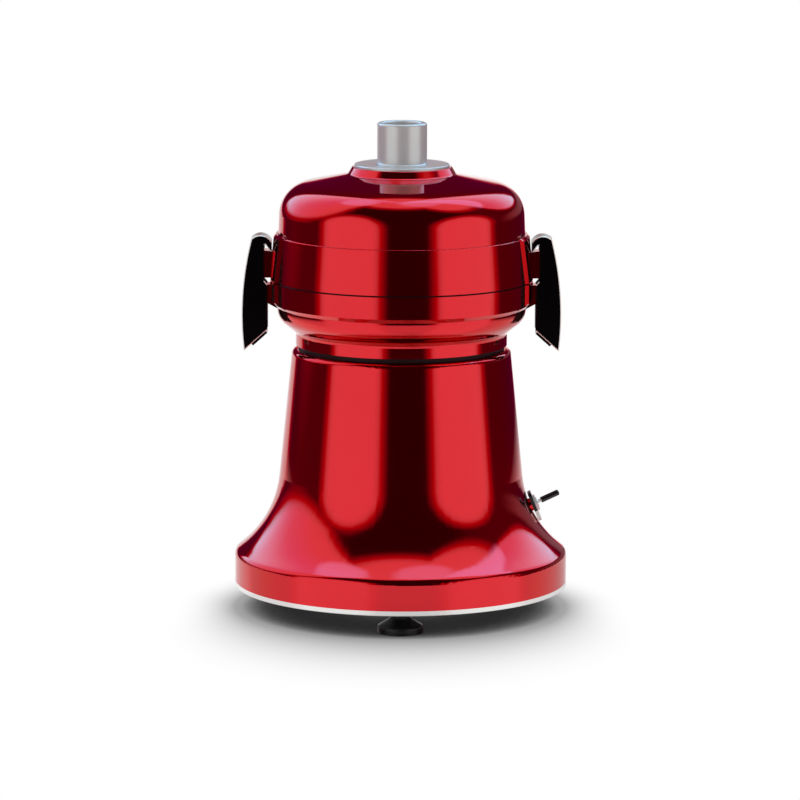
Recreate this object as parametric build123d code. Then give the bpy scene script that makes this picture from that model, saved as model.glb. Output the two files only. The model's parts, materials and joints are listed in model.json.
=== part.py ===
from build123d import *
from math import asin, atan2, cos, degrees, radians, sin, sqrt
import os

# Batch centrifugal juice extractor, in millimetres. Z is up, the table is at zero, the spin axis is the
# Z axis, the juice spout points along +Y and the two latches lie at +X and -X.

# Clearances
press_gap = 0.02  # radial, between pieces that are pressed or screwed together
pin_gap = 0.05  # radial, between a pin and the hole that turns on it
running_gap = 0.3  # between pieces that move past each other
hole_gap = 0.3  # radial, of a clearance hole round a screw or tube

# Screws and nuts: shank radii, and the head's sizes as multiples of the shank's radius
plate_screw_radius = 2.0
foot_screw_radius = 2.5
motor_bolt_radius = 2.5
bowl_screw_radius = 3.0
head_radius_ratio = 1.8
head_height_ratio = 1.2
head_round_ratio = 0.6
nut_ratio = 1.7
nut_height_ratio = 1.6

# Feet: three rubber suction cups
foot_height = 19.0
foot_cup_radius = 17.5
foot_stem_radius = 6.9
foot_inset = 34.0
foot_rim_width = 3.5
foot_rim_height = 5.0
foot_dish_depth = 3.0
foot_screw_seat = 8.0
foot_names = ("front", "rear_right", "rear_left")

# Base plate with its ring of vent slots
plate_thickness = 3.7
plate_edge = 0.5
vent_count = 12
vent_inner_radius = 24.0
vent_length = 26.0
vent_width = 5.0
plate_screw_inset = 10.0
plate_screw_depth = 12.0
plate_boss_radius = 6.5

# Base housing: rim, concave flare, tapered column
base_radius = 129.0
rim_height = 22.9
rim_edge = 6.5
flare_height = 59.7
flare_reach = 34.6
column_height = 98.8
column_taper = 9.9
shoulder_round = 4.2
housing_wall = 4.0
housing_top_wall = 6.0

# Cord grommet in the rear of the rim
grommet_height = 12.0
grommet_bore = 3.8
grommet_wall = 2.2
grommet_flange_width = 3.0
grommet_flange = 2.5

# Ball bearings, the same top and bottom, and the shaft seal
bearing_section = 10.0
bearing_width = 11.0
bearing_ring = 3.2
ball_radius = 3.1
ball_count = 7
bearing_boss_wall = 5.5
bearing_shoulder = 3.0
bearing_hole_gap = 2.5
seal_height = 8.0

# Motor
shaft_radius = 7.5
shaft_step = 1.5
motor_room = 20.5
stator_depth = 27.0
stator_height = 46.0
stator_slots = 12
slot_width = 7.0
slot_depth = 14.0
winding_height = 16.0
winding_inset = 3.0
winding_round = 5.0
air_gap = 0.4
end_ring_height = 6.0
motor_wall = 9.0
bell_height = 52.0
bell_window_width = 38.0
bell_window_height = 26.0
shield_height = 26.0
shield_floor = 6.0
shield_vents = 6
shield_vent_radius = 6.0

# Cooling fan below the motor
fan_gap = 3.0
fan_inset = 12.0
fan_height = 14.0
fan_disc = 2.0
fan_hub_wall = 5.5
fan_blades = 8
fan_blade_thickness = 2.0
shaft_thread_step = 2.5
shaft_nut_height = 7.0

# Start capacitor, standing in a ring clip on the base plate
capacitor_radius = 14.0
capacitor_height = 40.0
capacitor_inset = 5.4
capacitor_angle = -120
capacitor_round = 2.5
terminal_width = 6.3
terminal_height = 7.0
terminal_thickness = 0.8
clip_thickness = 1.2
clip_height = 11.0
clip_flange = 4.0

# Toggle switch on the flare at +X
switch_rise = 35.2
switch_boss_margin = 1.2
switch_boss_proud = 1.6
switch_boss_depth = 1.6
switch_body_length = 27.0
switch_body_width = 14.0
switch_body_depth = 17.0
switch_bush_radius = 3.9
switch_bush_proud = 4.6
switch_plate_margin = 3.6
switch_plate_lift = 2.3
switch_plate_tail = 8.2
switch_plate_thickness = 2.4
switch_plate_round = 2.5
switch_nut_wall = 2.0
switch_nut_height = 1.8
toggle_throw = 24.0
toggle_ball_radius = 2.9
toggle_ball_depth = 2.0
toggle_neck_radius = 1.3
toggle_cap_wall = 1.0
toggle_cap_length = 15.2
toggle_neck_length = 3.4

# Bowl
bowl_gasket_thickness = 3.5
bowl_gasket_inset = 2.2
bowl_height = 49.4
bowl_floor_thickness = 5.4
neck_step = 2.7
neck_ring_height = 9.4
bowl_flare = 14.4
bowl_corner_height = 21.4
bowl_corner_round = 14.0
bowl_neck_round = 3.0
lip_rise = 7.8
lip_size = 3.3
bowl_wall = 4.0
tower_room = 7.5
tower_wall = 4.5
tower_height = 17.0
bowl_screw_out = 7.0
bowl_screws_count = 4

# Juice spout, sloping down to the rear
spout_bore = 8.0
spout_wall = 3.0
spout_slope = 12.0
spout_length = 49.0
spout_lift = 1.0
spout_boss_wall = 3.0
spout_boss_proud = 1.5
spout_insert = 12.0
spout_collar = 4.0
spout_lip = 1.2

# Lid
lid_gasket_thickness = 1.2
lid_gasket_inset = 1.5
lid_gasket_width = 4.5
lid_band_height = 34.5
lid_band_taper = 2.7
lid_ledge = 1.4
dome_taper = 1.6
dome_corner_height = 70.8
dome_round = 26.0
crown_rise = 10.2
lid_boss_margin = 1.7
lid_boss_height = 6.0
lid_boss_draft = 3.6
lid_boss_edge = 0.8
lid_boss_round = 2.5
lid_wall = 4.0
lid_boss_thickness = 8.0
spigot_depth = 5.0
spigot_wall = 3.2
spigot_height = 4.0

# Feed tube
tube_radius = 19.2
tube_wall = 4.2
tube_height = 33.9
tube_flange_width = 17.5
tube_flange = 2.1
tube_lip = 2.0
tube_foot_round = 1.6
tube_end_gap = 10.0
tube_nut_wall = 8.2
tube_nut_height = 7.0
tube_washer = 1.5

# Latches: pads on lid and bowl, ears, lugs, levers, pins and springs
pad_proud = 2.0
pad_half_width = 28.0
pad_flank = 8.0
pad_rise = 0.6
pad_edge = 0.4
ear_width = 14.0
ear_low = 1.1
ear_height = 21.6
ear_slope = 2.1
ear_reach = 9.0
lug_drop = 2.9
pivot_out = 10.5
pivot_drop = 11.5
lug_round = 5.2
lug_foot_drop = 11.0
pin_radius = 2.5
lever_cheek = 2.2
lever_web = 2.4
lever_tip_out = 11.6
lever_tip_drop = 42.8
lever_foot_drop = 26.4
lever_lip_proud = 1.9
lever_lip_start = 0.08
lever_lip_end = 0.68
lever_bulge_out = 12.5
lever_bulge_rise = 3.5
lever_top_out = 5.8
lever_shoulder_rise = 9.3
lever_crown_rise = 12.3
lever_inner_in = 6.7
lever_step = 3.0
lever_waist_rise = 8.5
hook_height = 7.0
hook_land = 1.2
hook_run = 3.5
hook_rise = 5.0
hook_flat = 1.0
lever_edge = 0.7
spring_wire_radius = 0.55
spring_turns = 2
spring_start = 40.0
spring_end = 90.0
spring_pitch = 1.8
spring_slot_width = 5.8

# Rotor above the motor: slinger, hub, strainer basket, grater disc
slinger_gap = 2.0
slinger_height = 2.0
slinger_lift = 2.0
hub_gap = 2.0
hub_height = 8.0
hub_wall = 4.5
hub_flange_width = 5.5
hub_flange = 4.0
hub_skirt_gap = 2.0
hub_skirt_wall = 3.0
hub_skirt_depth = 6.0
basket_sheet = 1.5
basket_gap = 9.7
basket_taper = 6.0
basket_height = 60.0
basket_rim = 3.0
strainer_columns = 24
strainer_rows = 3
strainer_slot_width = 5.0
strainer_slot_height = 12.0
strainer_bridge = 5.0
grater_inset = 8.0
grater_thickness = 2.0
tooth_size = 2.4
tooth_height = 2.6
tooth_rows = 8
teeth_per_row = 5
tooth_first_gap = 14.0
tooth_edge = 6.0
tooth_sweep = 6.0
basket_nut_height = 8.0

# Heights above the table
plate_top = foot_height + plate_thickness
rim_top = plate_top + rim_height
waist_z = rim_top + flare_height
housing_top = waist_z + column_height
bowl_bottom = housing_top + bowl_gasket_thickness
bowl_floor = bowl_bottom + bowl_floor_thickness
bowl_rim = bowl_bottom + bowl_height
lid_bottom = bowl_rim + lid_gasket_thickness
ledge_z = lid_bottom + lid_band_height
dome_corner_z = lid_bottom + dome_corner_height
crown_z = dome_corner_z + crown_rise
boss_top = crown_z + lid_boss_height
boss_under = boss_top - lid_boss_thickness
tube_top = boss_top + tube_height

# Motor heights, counted down from the housing's top wall
stator_top = housing_top - housing_top_wall - bell_height
stator_bottom = stator_top - stator_height
shield_bottom = stator_bottom - shield_height
fan_top = shield_bottom - fan_gap
fan_bottom = fan_top - fan_height
lower_bearing = shield_bottom
upper_bearing = housing_top - seal_height - bearing_width

# Rotor heights above the bowl's floor
tower_top = bowl_floor + tower_height
hub_bottom = tower_top + hub_gap
hub_top = hub_bottom + hub_height
grater_bottom = hub_top + basket_sheet
grater_top = grater_bottom + grater_thickness
tube_end = grater_top + basket_nut_height + tube_end_gap

# Radii of base, bowl and lid, from the base's rim inwards and up
waist_radius = base_radius - flare_reach
neck_radius = waist_radius - column_taper
neck_ring_radius = neck_radius - neck_step
bowl_wall_radius = neck_ring_radius + bowl_flare
bowl_inner_radius = bowl_wall_radius - bowl_wall
band_radius = bowl_wall_radius + lip_size
lid_band_top_radius = band_radius - lid_band_taper
dome_radius = lid_band_top_radius - lid_ledge - dome_taper
spigot_radius = bowl_inner_radius - running_gap
tube_bore = tube_radius - tube_wall
tube_flange_radius = tube_radius + tube_flange_width
tube_nut_across = 2 * (tube_radius + tube_nut_wall)
lid_boss_radius = tube_flange_radius + lid_boss_margin
foot_circle_radius = base_radius - foot_inset
plate_screw_circle = base_radius - housing_wall - plate_screw_inset
grommet_radius = grommet_bore + grommet_wall
grommet_flange_radius = grommet_radius + grommet_flange_width
spout_boss_reach = band_radius + spout_boss_proud
spout_reach = spout_boss_reach + spout_length

# Radii of motor and rotor, from the shaft outwards and from the column inwards
shaft_core_radius = shaft_radius + shaft_step
shaft_thread_radius = shaft_radius - shaft_thread_step
bearing_radius = shaft_radius + bearing_section
bearing_boss_radius = bearing_radius + bearing_boss_wall
bearing_hole_radius = shaft_core_radius + bearing_hole_gap
stator_radius = neck_radius - housing_wall - motor_room
stator_bore = stator_radius - stator_depth
motor_bolt_circle = stator_radius - motor_wall / 2
rotor_radius = stator_bore - air_gap
bowl_screw_circle = stator_radius + bowl_screw_out
fan_radius = stator_radius - fan_inset
fan_hub_radius = shaft_radius + fan_hub_wall
tower_bore = shaft_radius + tower_room
slinger_radius = tower_bore - slinger_gap
hub_radius = shaft_radius + hub_wall
hub_skirt = tower_bore + tower_wall + hub_skirt_gap
hub_flange_radius = hub_skirt + hub_skirt_wall + hub_flange_width
basket_top_radius = spigot_radius - spigot_wall - basket_gap - basket_rim
basket_bottom_radius = basket_top_radius - basket_taper
grater_radius = basket_bottom_radius - grater_inset

# Switch, and latches on both sides
switch_height = rim_top + switch_rise
switch_boss_radius = switch_bush_radius + switch_boss_margin
switch_plate_size = 2 * (switch_bush_radius + switch_plate_margin)
switch_nut_across = 2 * (switch_bush_radius + switch_nut_wall)
toggle_bore = toggle_ball_radius + pin_gap
toggle_cap_radius = toggle_neck_radius + toggle_cap_wall
pivot_x = band_radius + pivot_out
pivot_z = bowl_rim - pivot_drop
lever_half = ear_width / 2 + running_gap + lever_cheek
ear_bottom = lid_bottom + ear_low
ear_top = ear_bottom + ear_height
ear_end = band_radius + ear_reach

# Angles round the axis: the base plate's screws lie between the feet
foot_spacing = 360 / len(foot_names)
foot_angles = {name: foot_spacing * i - 90 for i, name in enumerate(foot_names)}
plate_screw_angles = [angle + foot_spacing / 4 for angle in foot_angles.values()]

LOW = (Align.CENTER, Align.CENTER, Align.MIN)


def spin(face):
    """Turn an outline drawn in the radius and height plane about the Z axis."""
    return revolve(Plane.XZ * face, Axis.Z)


def outline(*corners):
    """Closed outline from corners (x, y) or (x, y, rounding radius)."""
    points = [corner[:2] for corner in corners]
    radii = [corner[2] if len(corner) == 3 else 0 for corner in corners]
    return make_face(FilletPolyline(*points, radius=radii, close=True))


def lathe(*corners):
    """Turned piece from corners (radius, height) or (radius, height, rounding radius)."""
    return spin(outline(*corners))


def rod(radius, low, high):
    """Upright cylinder on the Z axis."""
    return Pos(0, 0, low) * Cylinder(radius, high - low, align=LOW)


def ring(outer, inner, low, high):
    """Upright tube on the Z axis."""
    return lathe((inner, low), (outer, low), (outer, high), (inner, high))


def around(piece, count, radius=0, start=0):
    """Copies of a piece, evenly spaced round the Z axis."""
    step = 360 / count
    return [Rot(0, 0, start + step * i) * Pos(radius, 0, 0) * piece for i in range(count)]


def screw(shank, length):
    """Pan-head screw: the head's seat is at zero and the shank points down."""
    head = shank * head_radius_ratio
    height = shank * head_height_ratio
    return lathe(
        (0, -length),
        (shank, -length),
        (shank, 0),
        (head, 0),
        (head, height, height * head_round_ratio),
        (0, height),
    )


def nut(bore, height):
    """Hexagon nut, standing on zero."""
    flats = RegularPolygon(bore * nut_ratio, 6, major_radius=False)
    return extrude(flats - Circle(bore + press_gap), height)


def bell_outline(inset, low, rim_z, high):
    """Half section of the base: rim, concave flare and tapered column, drawn inset from the outside."""
    rim = (base_radius - inset, rim_z)
    waist = (waist_radius - inset, waist_z)
    neck = (neck_radius - inset, high)
    fall = (waist[0] - neck[0], waist[1] - neck[1])
    foot = (rim[0], low)
    lines = [
        Line((0, high), neck),
        Line(neck, waist),
        TangentArc(waist, rim, tangent=fall),
        Line(rim, foot),
        Line(foot, (0, low)),
        Line((0, low), (0, high)),
    ]
    return make_face(lines)


def round_corner(face, corner, radius):
    """Round the corner of a flat face that lies nearest to a point."""
    return fillet(face.vertices().sort_by_distance((*corner, 0))[0], radius)


def flare_plane(height):
    """Plane on the flare at +X: local x along +Y, local y up the slope, local z straight out."""
    taper = atan2(column_taper, column_height)
    fall = rim_top - waist_z
    curve = (flare_reach**2 + fall**2) / (2 * (flare_reach * cos(taper) + fall * sin(taper)))
    centre_x = waist_radius + curve * cos(taper)
    centre_z = waist_z + curve * sin(taper)
    lean = asin((centre_z - height) / curve)
    origin = (centre_x - curve * cos(lean), 0, height)
    return Plane(origin=origin, x_dir=(0, 1, 0), z_dir=(cos(lean), 0, sin(lean)))


switch_plane = flare_plane(switch_height)
switch_seat = -(housing_wall + switch_boss_depth)


def spout_plane():
    """Plane at the bowl's neck wall, local z along the spout."""
    slope = radians(spout_slope)
    start = neck_ring_radius - bowl_wall
    height = bowl_floor + spout_bore + spout_lift
    return Plane(origin=(0, start, height), x_dir=(1, 0, 0), z_dir=(0, cos(slope), -sin(slope)))


def along_spout(reach):
    """Distance along the spout at which it reaches out to a given Y."""
    return (reach - neck_ring_radius + bowl_wall) / cos(radians(spout_slope))


def base_housing():
    face = bell_outline(0, plate_top, rim_top, housing_top)
    face = round_corner(face, (base_radius, rim_top), rim_edge)
    face = round_corner(face, (neck_radius, housing_top), shoulder_round)
    outside = spin(face)
    hollow_rim = rim_top - housing_wall / 2
    hollow_top = housing_top - housing_top_wall
    body = outside - spin(bell_outline(housing_wall, foot_height, hollow_rim, hollow_top))
    # Screw bosses for the base plate, and the bearing boss under the top wall
    boss = rod(plate_boss_radius, plate_top, waist_z)
    pilot = rod(plate_screw_radius + press_gap, foot_height, plate_top + plate_screw_depth)
    for angle in plate_screw_angles:
        body += Rot(0, 0, angle) * (Pos(plate_screw_circle, 0, 0) * boss & outside)
        body -= Rot(0, 0, angle) * Pos(plate_screw_circle, 0, 0) * pilot
    body += rod(bearing_boss_radius, upper_bearing - bearing_shoulder, housing_top)
    body -= rod(bearing_radius + press_gap, upper_bearing, housing_top)
    body -= rod(bearing_hole_radius, upper_bearing - bearing_shoulder, housing_top)
    # Flat boss for the switch, and its hole
    seat = Pos(0, 0, switch_seat) * Cylinder(
        switch_boss_radius, switch_boss_proud - switch_seat, align=LOW
    )
    body += switch_plane * seat
    body -= switch_plane * Cylinder(switch_bush_radius + press_gap, 4 * housing_wall)
    # Grommet hole, blind holes for the motor bolts, threaded holes for the bowl screws
    entry = Pos(0, base_radius, plate_top + grommet_height) * Rot(90, 0, 0)
    body -= entry * Cylinder(grommet_radius + press_gap, 4 * housing_wall)
    blind = rod(motor_bolt_radius + press_gap, hollow_top, housing_top - housing_top_wall / 3)
    body -= around(blind, 4, motor_bolt_circle, 45)
    through = rod(bowl_screw_radius + press_gap, hollow_top, housing_top)
    body -= around(through, bowl_screws_count, bowl_screw_circle)
    return body


def base_plate():
    body = lathe(
        (0, foot_height),
        (base_radius, foot_height, plate_edge),
        (base_radius, plate_top),
        (0, plate_top),
    )
    slot = Pos(0, 0, foot_height) * extrude(SlotOverall(vent_length, vent_width), plate_thickness)
    body -= around(slot, vent_count, vent_inner_radius + vent_length / 2)
    hole = rod(foot_screw_radius + hole_gap, foot_height, plate_top)
    for angle in foot_angles.values():
        body -= Rot(0, 0, angle) * Pos(foot_circle_radius, 0, 0) * hole
    hole = rod(plate_screw_radius + hole_gap, foot_height, plate_top)
    for angle in plate_screw_angles:
        body -= Rot(0, 0, angle) * Pos(plate_screw_circle, 0, 0) * hole
    return body


def base_plate_screws():
    length = plate_thickness + plate_screw_depth - 2 * plate_screw_radius
    upward = Pos(0, 0, foot_height) * Rot(180, 0, 0) * screw(plate_screw_radius, length)
    return [Rot(0, 0, angle) * Pos(plate_screw_circle, 0, 0) * upward for angle in plate_screw_angles]


def foot():
    hole = foot_screw_radius + hole_gap
    pocket = foot_screw_radius * head_radius_ratio + hole_gap
    inner_rim = foot_cup_radius - foot_rim_width
    waist = (foot_rim_height + foot_screw_seat) / 2
    return lathe(
        (hole, foot_screw_seat),
        (pocket, foot_screw_seat),
        (pocket, foot_dish_depth),
        (inner_rim, 0),
        (foot_cup_radius, 0),
        (foot_cup_radius, foot_rim_height, foot_rim_height / 3),
        (foot_stem_radius, waist + foot_rim_height, foot_rim_height),
        (foot_stem_radius, foot_height),
        (hole, foot_height),
    )


def foot_screws():
    length = plate_top - foot_screw_seat + foot_screw_radius * (nut_height_ratio + 1)
    upward = Pos(foot_circle_radius, 0, foot_screw_seat) * Rot(180, 0, 0) * screw(foot_screw_radius, length)
    return [Rot(0, 0, angle) * upward for angle in foot_angles.values()]


def foot_nuts():
    piece = Pos(foot_circle_radius, 0, plate_top) * nut(
        foot_screw_radius, foot_screw_radius * nut_height_ratio
    )
    return [Rot(0, 0, angle) * piece for angle in foot_angles.values()]


def cord_grommet():
    inner = base_radius - housing_wall - grommet_flange
    body = lathe(
        (grommet_bore, inner),
        (grommet_radius, inner),
        (grommet_radius, base_radius),
        (grommet_flange_radius, base_radius),
        (grommet_flange_radius, base_radius + grommet_flange, grommet_flange / 2),
        (grommet_bore, base_radius + grommet_flange),
    )
    return Pos(0, 0, plate_top + grommet_height) * Rot(-90, 0, 0) * body


def stator_core():
    body = ring(stator_radius, stator_bore, stator_bottom, stator_top)
    slot = Pos(stator_bore, 0, (stator_bottom + stator_top) / 2)
    body -= around(slot * Box(2 * slot_depth, slot_width, stator_height), stator_slots)
    hole = rod(motor_bolt_radius + hole_gap, stator_bottom, stator_top)
    return body - around(hole, 4, motor_bolt_circle, 45)


def stator_winding():
    inner = stator_bore + winding_inset
    outer = stator_radius - motor_wall - running_gap

    def end_turns(low, high):
        return lathe(
            (inner, low),
            (outer, low),
            (outer, high, winding_round),
            (inner, high, winding_round),
        )

    body = end_turns(stator_top, stator_top + winding_height)
    body += end_turns(stator_bottom, stator_bottom - winding_height)
    width = slot_width - 2 * running_gap
    depth = slot_depth - winding_inset - running_gap
    bar = Box(depth, width, stator_height + 2 * running_gap)
    middle = Pos(inner + depth / 2, 0, (stator_bottom + stator_top) / 2)
    return body + around(middle * bar, stator_slots)


def motor_bell():
    inner = stator_radius - motor_wall
    low, high = stator_top, housing_top - housing_top_wall
    body = ring(stator_radius, inner, low, high)
    window = Pos(stator_radius, 0, (low + high) / 2) * Box(
        4 * motor_wall, bell_window_width, bell_window_height
    )
    body -= around(window, 4)
    hole = rod(motor_bolt_radius + hole_gap, low, high)
    return body - around(hole, 4, motor_bolt_circle, 45)


def motor_lower_shield():
    inner = stator_radius - motor_wall
    floor = shield_bottom + shield_floor
    seat = shield_bottom + bearing_width
    body = lathe(
        (bearing_radius + press_gap, shield_bottom),
        (stator_radius, shield_bottom, shield_floor / 2),
        (stator_radius, stator_bottom),
        (inner, stator_bottom),
        (inner, floor),
        (bearing_boss_radius, floor),
        (bearing_boss_radius, seat + bearing_shoulder),
        (bearing_hole_radius, seat + bearing_shoulder),
        (bearing_hole_radius, seat),
        (bearing_radius + press_gap, seat),
    )
    vent = rod(shield_vent_radius, shield_bottom, floor)
    body -= around(vent, shield_vents, (bearing_boss_radius + inner) / 2)
    hole = rod(motor_bolt_radius + hole_gap, shield_bottom, stator_bottom)
    return body - around(hole, 4, motor_bolt_circle, 45)


def motor_bolts():
    length = housing_top - housing_top_wall / 2 - shield_bottom
    upward = Pos(motor_bolt_circle, 0, shield_bottom) * Rot(180, 0, 0) * screw(motor_bolt_radius, length)
    return around(upward, 4, 0, 45)


def ball_circle():
    """Radius of the circle on which a bearing's balls run."""
    return (bearing_radius + shaft_radius) / 2


def bearing_outer(low):
    body = ring(bearing_radius, bearing_radius - bearing_ring, low, low + bearing_width)
    return body - Pos(0, 0, low + bearing_width / 2) * Torus(ball_circle(), ball_radius + pin_gap)


def bearing_inner(low):
    bore = shaft_radius + press_gap
    body = ring(shaft_radius + bearing_ring, bore, low, low + bearing_width)
    return body - Pos(0, 0, low + bearing_width / 2) * Torus(ball_circle(), ball_radius + press_gap)


def bearing_balls(low):
    ball = Pos(0, 0, low + bearing_width / 2) * Sphere(ball_radius)
    return around(ball, ball_count, ball_circle())


def shaft_seal():
    low = upper_bearing + bearing_width
    lip = shaft_radius + pin_gap
    return lathe(
        (bearing_radius - bearing_ring, low),
        (bearing_radius, low),
        (bearing_radius, housing_top),
        (lip, housing_top),
        (lip, housing_top - seal_height / 4),
        (bearing_radius - bearing_ring, housing_top - seal_height / 3),
    )


def capacitor_place():
    return Rot(0, 0, capacitor_angle) * Pos(waist_radius - capacitor_inset, 0, plate_top)


def capacitor():
    top = clip_thickness + capacitor_height
    body = lathe(
        (0, clip_thickness),
        (capacitor_radius, clip_thickness),
        (capacitor_radius, top, capacitor_round),
        (0, top),
    )
    blade = Box(terminal_thickness, terminal_width, terminal_height, align=LOW)
    for side in (-1, 1):
        body += Pos(side * capacitor_radius / 2, 0, top) * blade
    return capacitor_place() * body


def capacitor_clip():
    bore = capacitor_radius + press_gap
    outer = bore + clip_thickness
    body = lathe(
        (0, 0),
        (outer + clip_flange, 0),
        (outer + clip_flange, clip_thickness),
        (outer, clip_thickness),
        (outer, clip_height),
        (bore, clip_height),
        (bore, clip_thickness),
        (0, clip_thickness),
    )
    return capacitor_place() * body


def switch_body():
    body = Box(switch_body_width, switch_body_length, switch_body_depth, align=LOW)
    place = switch_plane * Pos(0, 0, switch_seat - switch_body_depth)
    blade = Box(terminal_thickness, terminal_width, terminal_height, align=LOW)
    for side in (-1, 0, 1):
        body += Pos(0, side * switch_body_length / 3, -terminal_height) * Rot(0, 0, 90) * blade
    return place * body


def switch_bush():
    top = switch_boss_proud + switch_bush_proud
    ball_seat = top - toggle_ball_depth
    body = lathe(
        (0, switch_seat),
        (switch_bush_radius, switch_seat),
        (switch_bush_radius, top),
        (toggle_bore, top),
        (toggle_bore, ball_seat - toggle_bore),
        (0, ball_seat - toggle_bore),
    )
    return switch_plane * body


def switch_plate():
    length = switch_plate_size + switch_plate_tail
    face = RectangleRounded(switch_plate_size, length, switch_plate_round)
    face = Pos(0, switch_plate_lift - switch_plate_tail / 2) * face
    body = extrude(face - Circle(switch_bush_radius + press_gap), switch_plate_thickness)
    return switch_plane * Pos(0, 0, switch_boss_proud) * body


def switch_nut():
    flats = RegularPolygon(switch_nut_across / 2, 6, major_radius=False)
    body = extrude(flats - Circle(switch_bush_radius + press_gap), switch_nut_height)
    return switch_plane * Pos(0, 0, switch_boss_proud + switch_plate_thickness) * body


def toggle_place():
    """The lever's pivot in the bush, leaning to the rear by half its throw."""
    pivot = switch_boss_proud + switch_bush_proud - toggle_ball_depth
    return switch_plane * Pos(0, 0, pivot) * Rot(0, toggle_throw / 2, 0)


def toggle_lever():
    reach = toggle_ball_depth + toggle_neck_length + toggle_cap_length / 2
    return toggle_place() * (Sphere(toggle_ball_radius) + rod(toggle_neck_radius, 0, reach))


def toggle_cap():
    low = toggle_ball_depth + toggle_neck_length - running_gap
    high = low + toggle_cap_length
    bore = toggle_neck_radius + press_gap
    body = lathe(
        (bore, low),
        (toggle_cap_radius, low),
        (toggle_cap_radius, high, toggle_cap_radius / 2),
        (0, high),
        (0, low + toggle_cap_length / 2 + running_gap),
        (bore, low + toggle_cap_length / 2 + running_gap),
    )
    return toggle_place() * body


def bowl_gasket():
    outer = neck_ring_radius - bowl_gasket_inset
    body = ring(outer, bearing_boss_radius, housing_top, bowl_bottom)
    hole = rod(bowl_screw_radius + hole_gap, housing_top, bowl_bottom)
    return body - around(hole, bowl_screws_count, bowl_screw_circle)


def latch_pad(low, high, low_radius, high_radius, low_edge, high_edge):
    """Raised pad at +X with slanted flanks, on a band whose radius goes from low_radius to high_radius."""
    outer = max(low_radius, high_radius) + pad_proud
    edge = sqrt(outer**2 - pad_half_width**2)
    root = edge - pad_flank
    plan = outline(
        (root, -pad_half_width - pad_flank),
        (edge, -pad_half_width),
        (outer + pad_proud, -pad_half_width),
        (outer + pad_proud, pad_half_width),
        (edge, pad_half_width),
        (root, pad_half_width + pad_flank),
    )
    turned = lathe(
        (0, low),
        (low_radius + pad_proud - low_edge, low),
        (low_radius + pad_proud, low + low_edge),
        (high_radius + pad_proud, high - high_edge),
        (high_radius + pad_proud - high_edge, high),
        (0, high),
    )
    return turned & (Pos(0, 0, low) * extrude(plan, high - low))


def across(face, width):
    """Piece from an outline drawn in the X and Z plane, centred on Y."""
    return extrude(Plane.XZ * face, width / 2, both=True)


def bowl_lug():
    top = bowl_rim - lug_drop
    end = pivot_x + lug_round
    root = bowl_wall_radius - bowl_wall / 2
    return across(
        outline(
            (root, top),
            (end, top, lug_round / 2),
            (end, pivot_z - lug_round, lug_round / 2),
            (pivot_x - lug_round, pivot_z - lug_round),
            (root, pivot_z - lug_foot_drop),
        ),
        ear_width,
    )


def bowl():
    corner_z = bowl_bottom + bowl_corner_height
    lip_z = corner_z + lip_rise
    neck_z = bowl_bottom + neck_ring_height
    outside = lathe(
        (0, bowl_bottom),
        (neck_ring_radius, bowl_bottom),
        (neck_ring_radius, neck_z, bowl_neck_round),
        (bowl_wall_radius, corner_z, bowl_corner_round),
        (bowl_wall_radius, lip_z),
        (band_radius, lip_z + lip_size),
        (band_radius, bowl_rim),
        (0, bowl_rim),
    )
    inner_neck = neck_ring_radius - bowl_wall
    inside = lathe(
        (0, bowl_floor),
        (inner_neck, bowl_floor, bowl_neck_round),
        (inner_neck, neck_z + bowl_wall / 2),
        (bowl_inner_radius, corner_z + bowl_wall / 2, bowl_corner_round - bowl_wall),
        (bowl_inner_radius, bowl_rim),
        (0, bowl_rim),
    )
    pad_bottom = lip_z + lip_size
    pad_taper = pad_proud + pad_edge
    pad = latch_pad(pad_bottom, bowl_rim, band_radius, band_radius, pad_taper, pad_edge)
    boss = Cylinder(spout_bore + spout_wall + spout_boss_wall, along_spout(spout_boss_reach), align=LOW)
    body = outside + spout_plane() * boss
    for angle in (0, 180):
        body += Rot(0, 0, angle) * pad
        body += Rot(0, 0, angle) * bowl_lug()
    body -= inside
    body -= rod(base_radius, waist_z, bowl_bottom)
    body += ring(tower_bore + tower_wall, tower_bore, bowl_bottom, tower_top)
    body -= rod(tower_bore, bowl_bottom, tower_top)
    # Spout bore and the seat of the spout's tube
    channel = Pos(0, 0, -bowl_wall) * Cylinder(spout_bore, along_spout(spout_reach), align=LOW)
    insert = Pos(0, 0, along_spout(spout_boss_reach) - spout_insert)
    socket = insert * Cylinder(spout_bore + spout_wall + press_gap, 2 * spout_insert, align=LOW)
    body -= [spout_plane() * channel, spout_plane() * socket]
    # Screw holes, pin holes and the slots for the latch springs
    hole = rod(bowl_screw_radius + hole_gap, bowl_bottom, bowl_floor)
    body -= around(hole, bowl_screws_count, bowl_screw_circle)
    pin = Pos(pivot_x, 0, pivot_z) * Rot(90, 0, 0) * Cylinder(pin_radius + press_gap, 2 * ear_width)
    slot = Pos(pivot_x - lug_round, 0, pivot_z) * Box(
        pivot_out + lug_round, spring_slot_width, bowl_height, align=(Align.MIN, Align.CENTER, Align.CENTER)
    )
    for angle in (0, 180):
        body -= Rot(0, 0, angle) * pin
        body -= Rot(0, 0, angle) * slot
    return body


def bowl_screws():
    length = bowl_floor - housing_top + housing_top_wall - running_gap
    piece = Pos(0, 0, bowl_floor) * screw(bowl_screw_radius, length)
    return around(piece, bowl_screws_count, bowl_screw_circle)


def juice_spout():
    seat = along_spout(spout_boss_reach)
    tip = along_spout(spout_reach)
    outer = spout_bore + spout_wall
    body = lathe(
        (spout_bore, seat - spout_insert),
        (outer, seat - spout_insert),
        (outer, seat),
        (outer + spout_boss_wall, seat),
        (outer + spout_boss_wall, seat + spout_collar, spout_lip),
        (outer, seat + spout_collar),
        (outer, tip, spout_lip),
        (spout_bore, tip, spout_lip),
    )
    return spout_plane() * body


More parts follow.
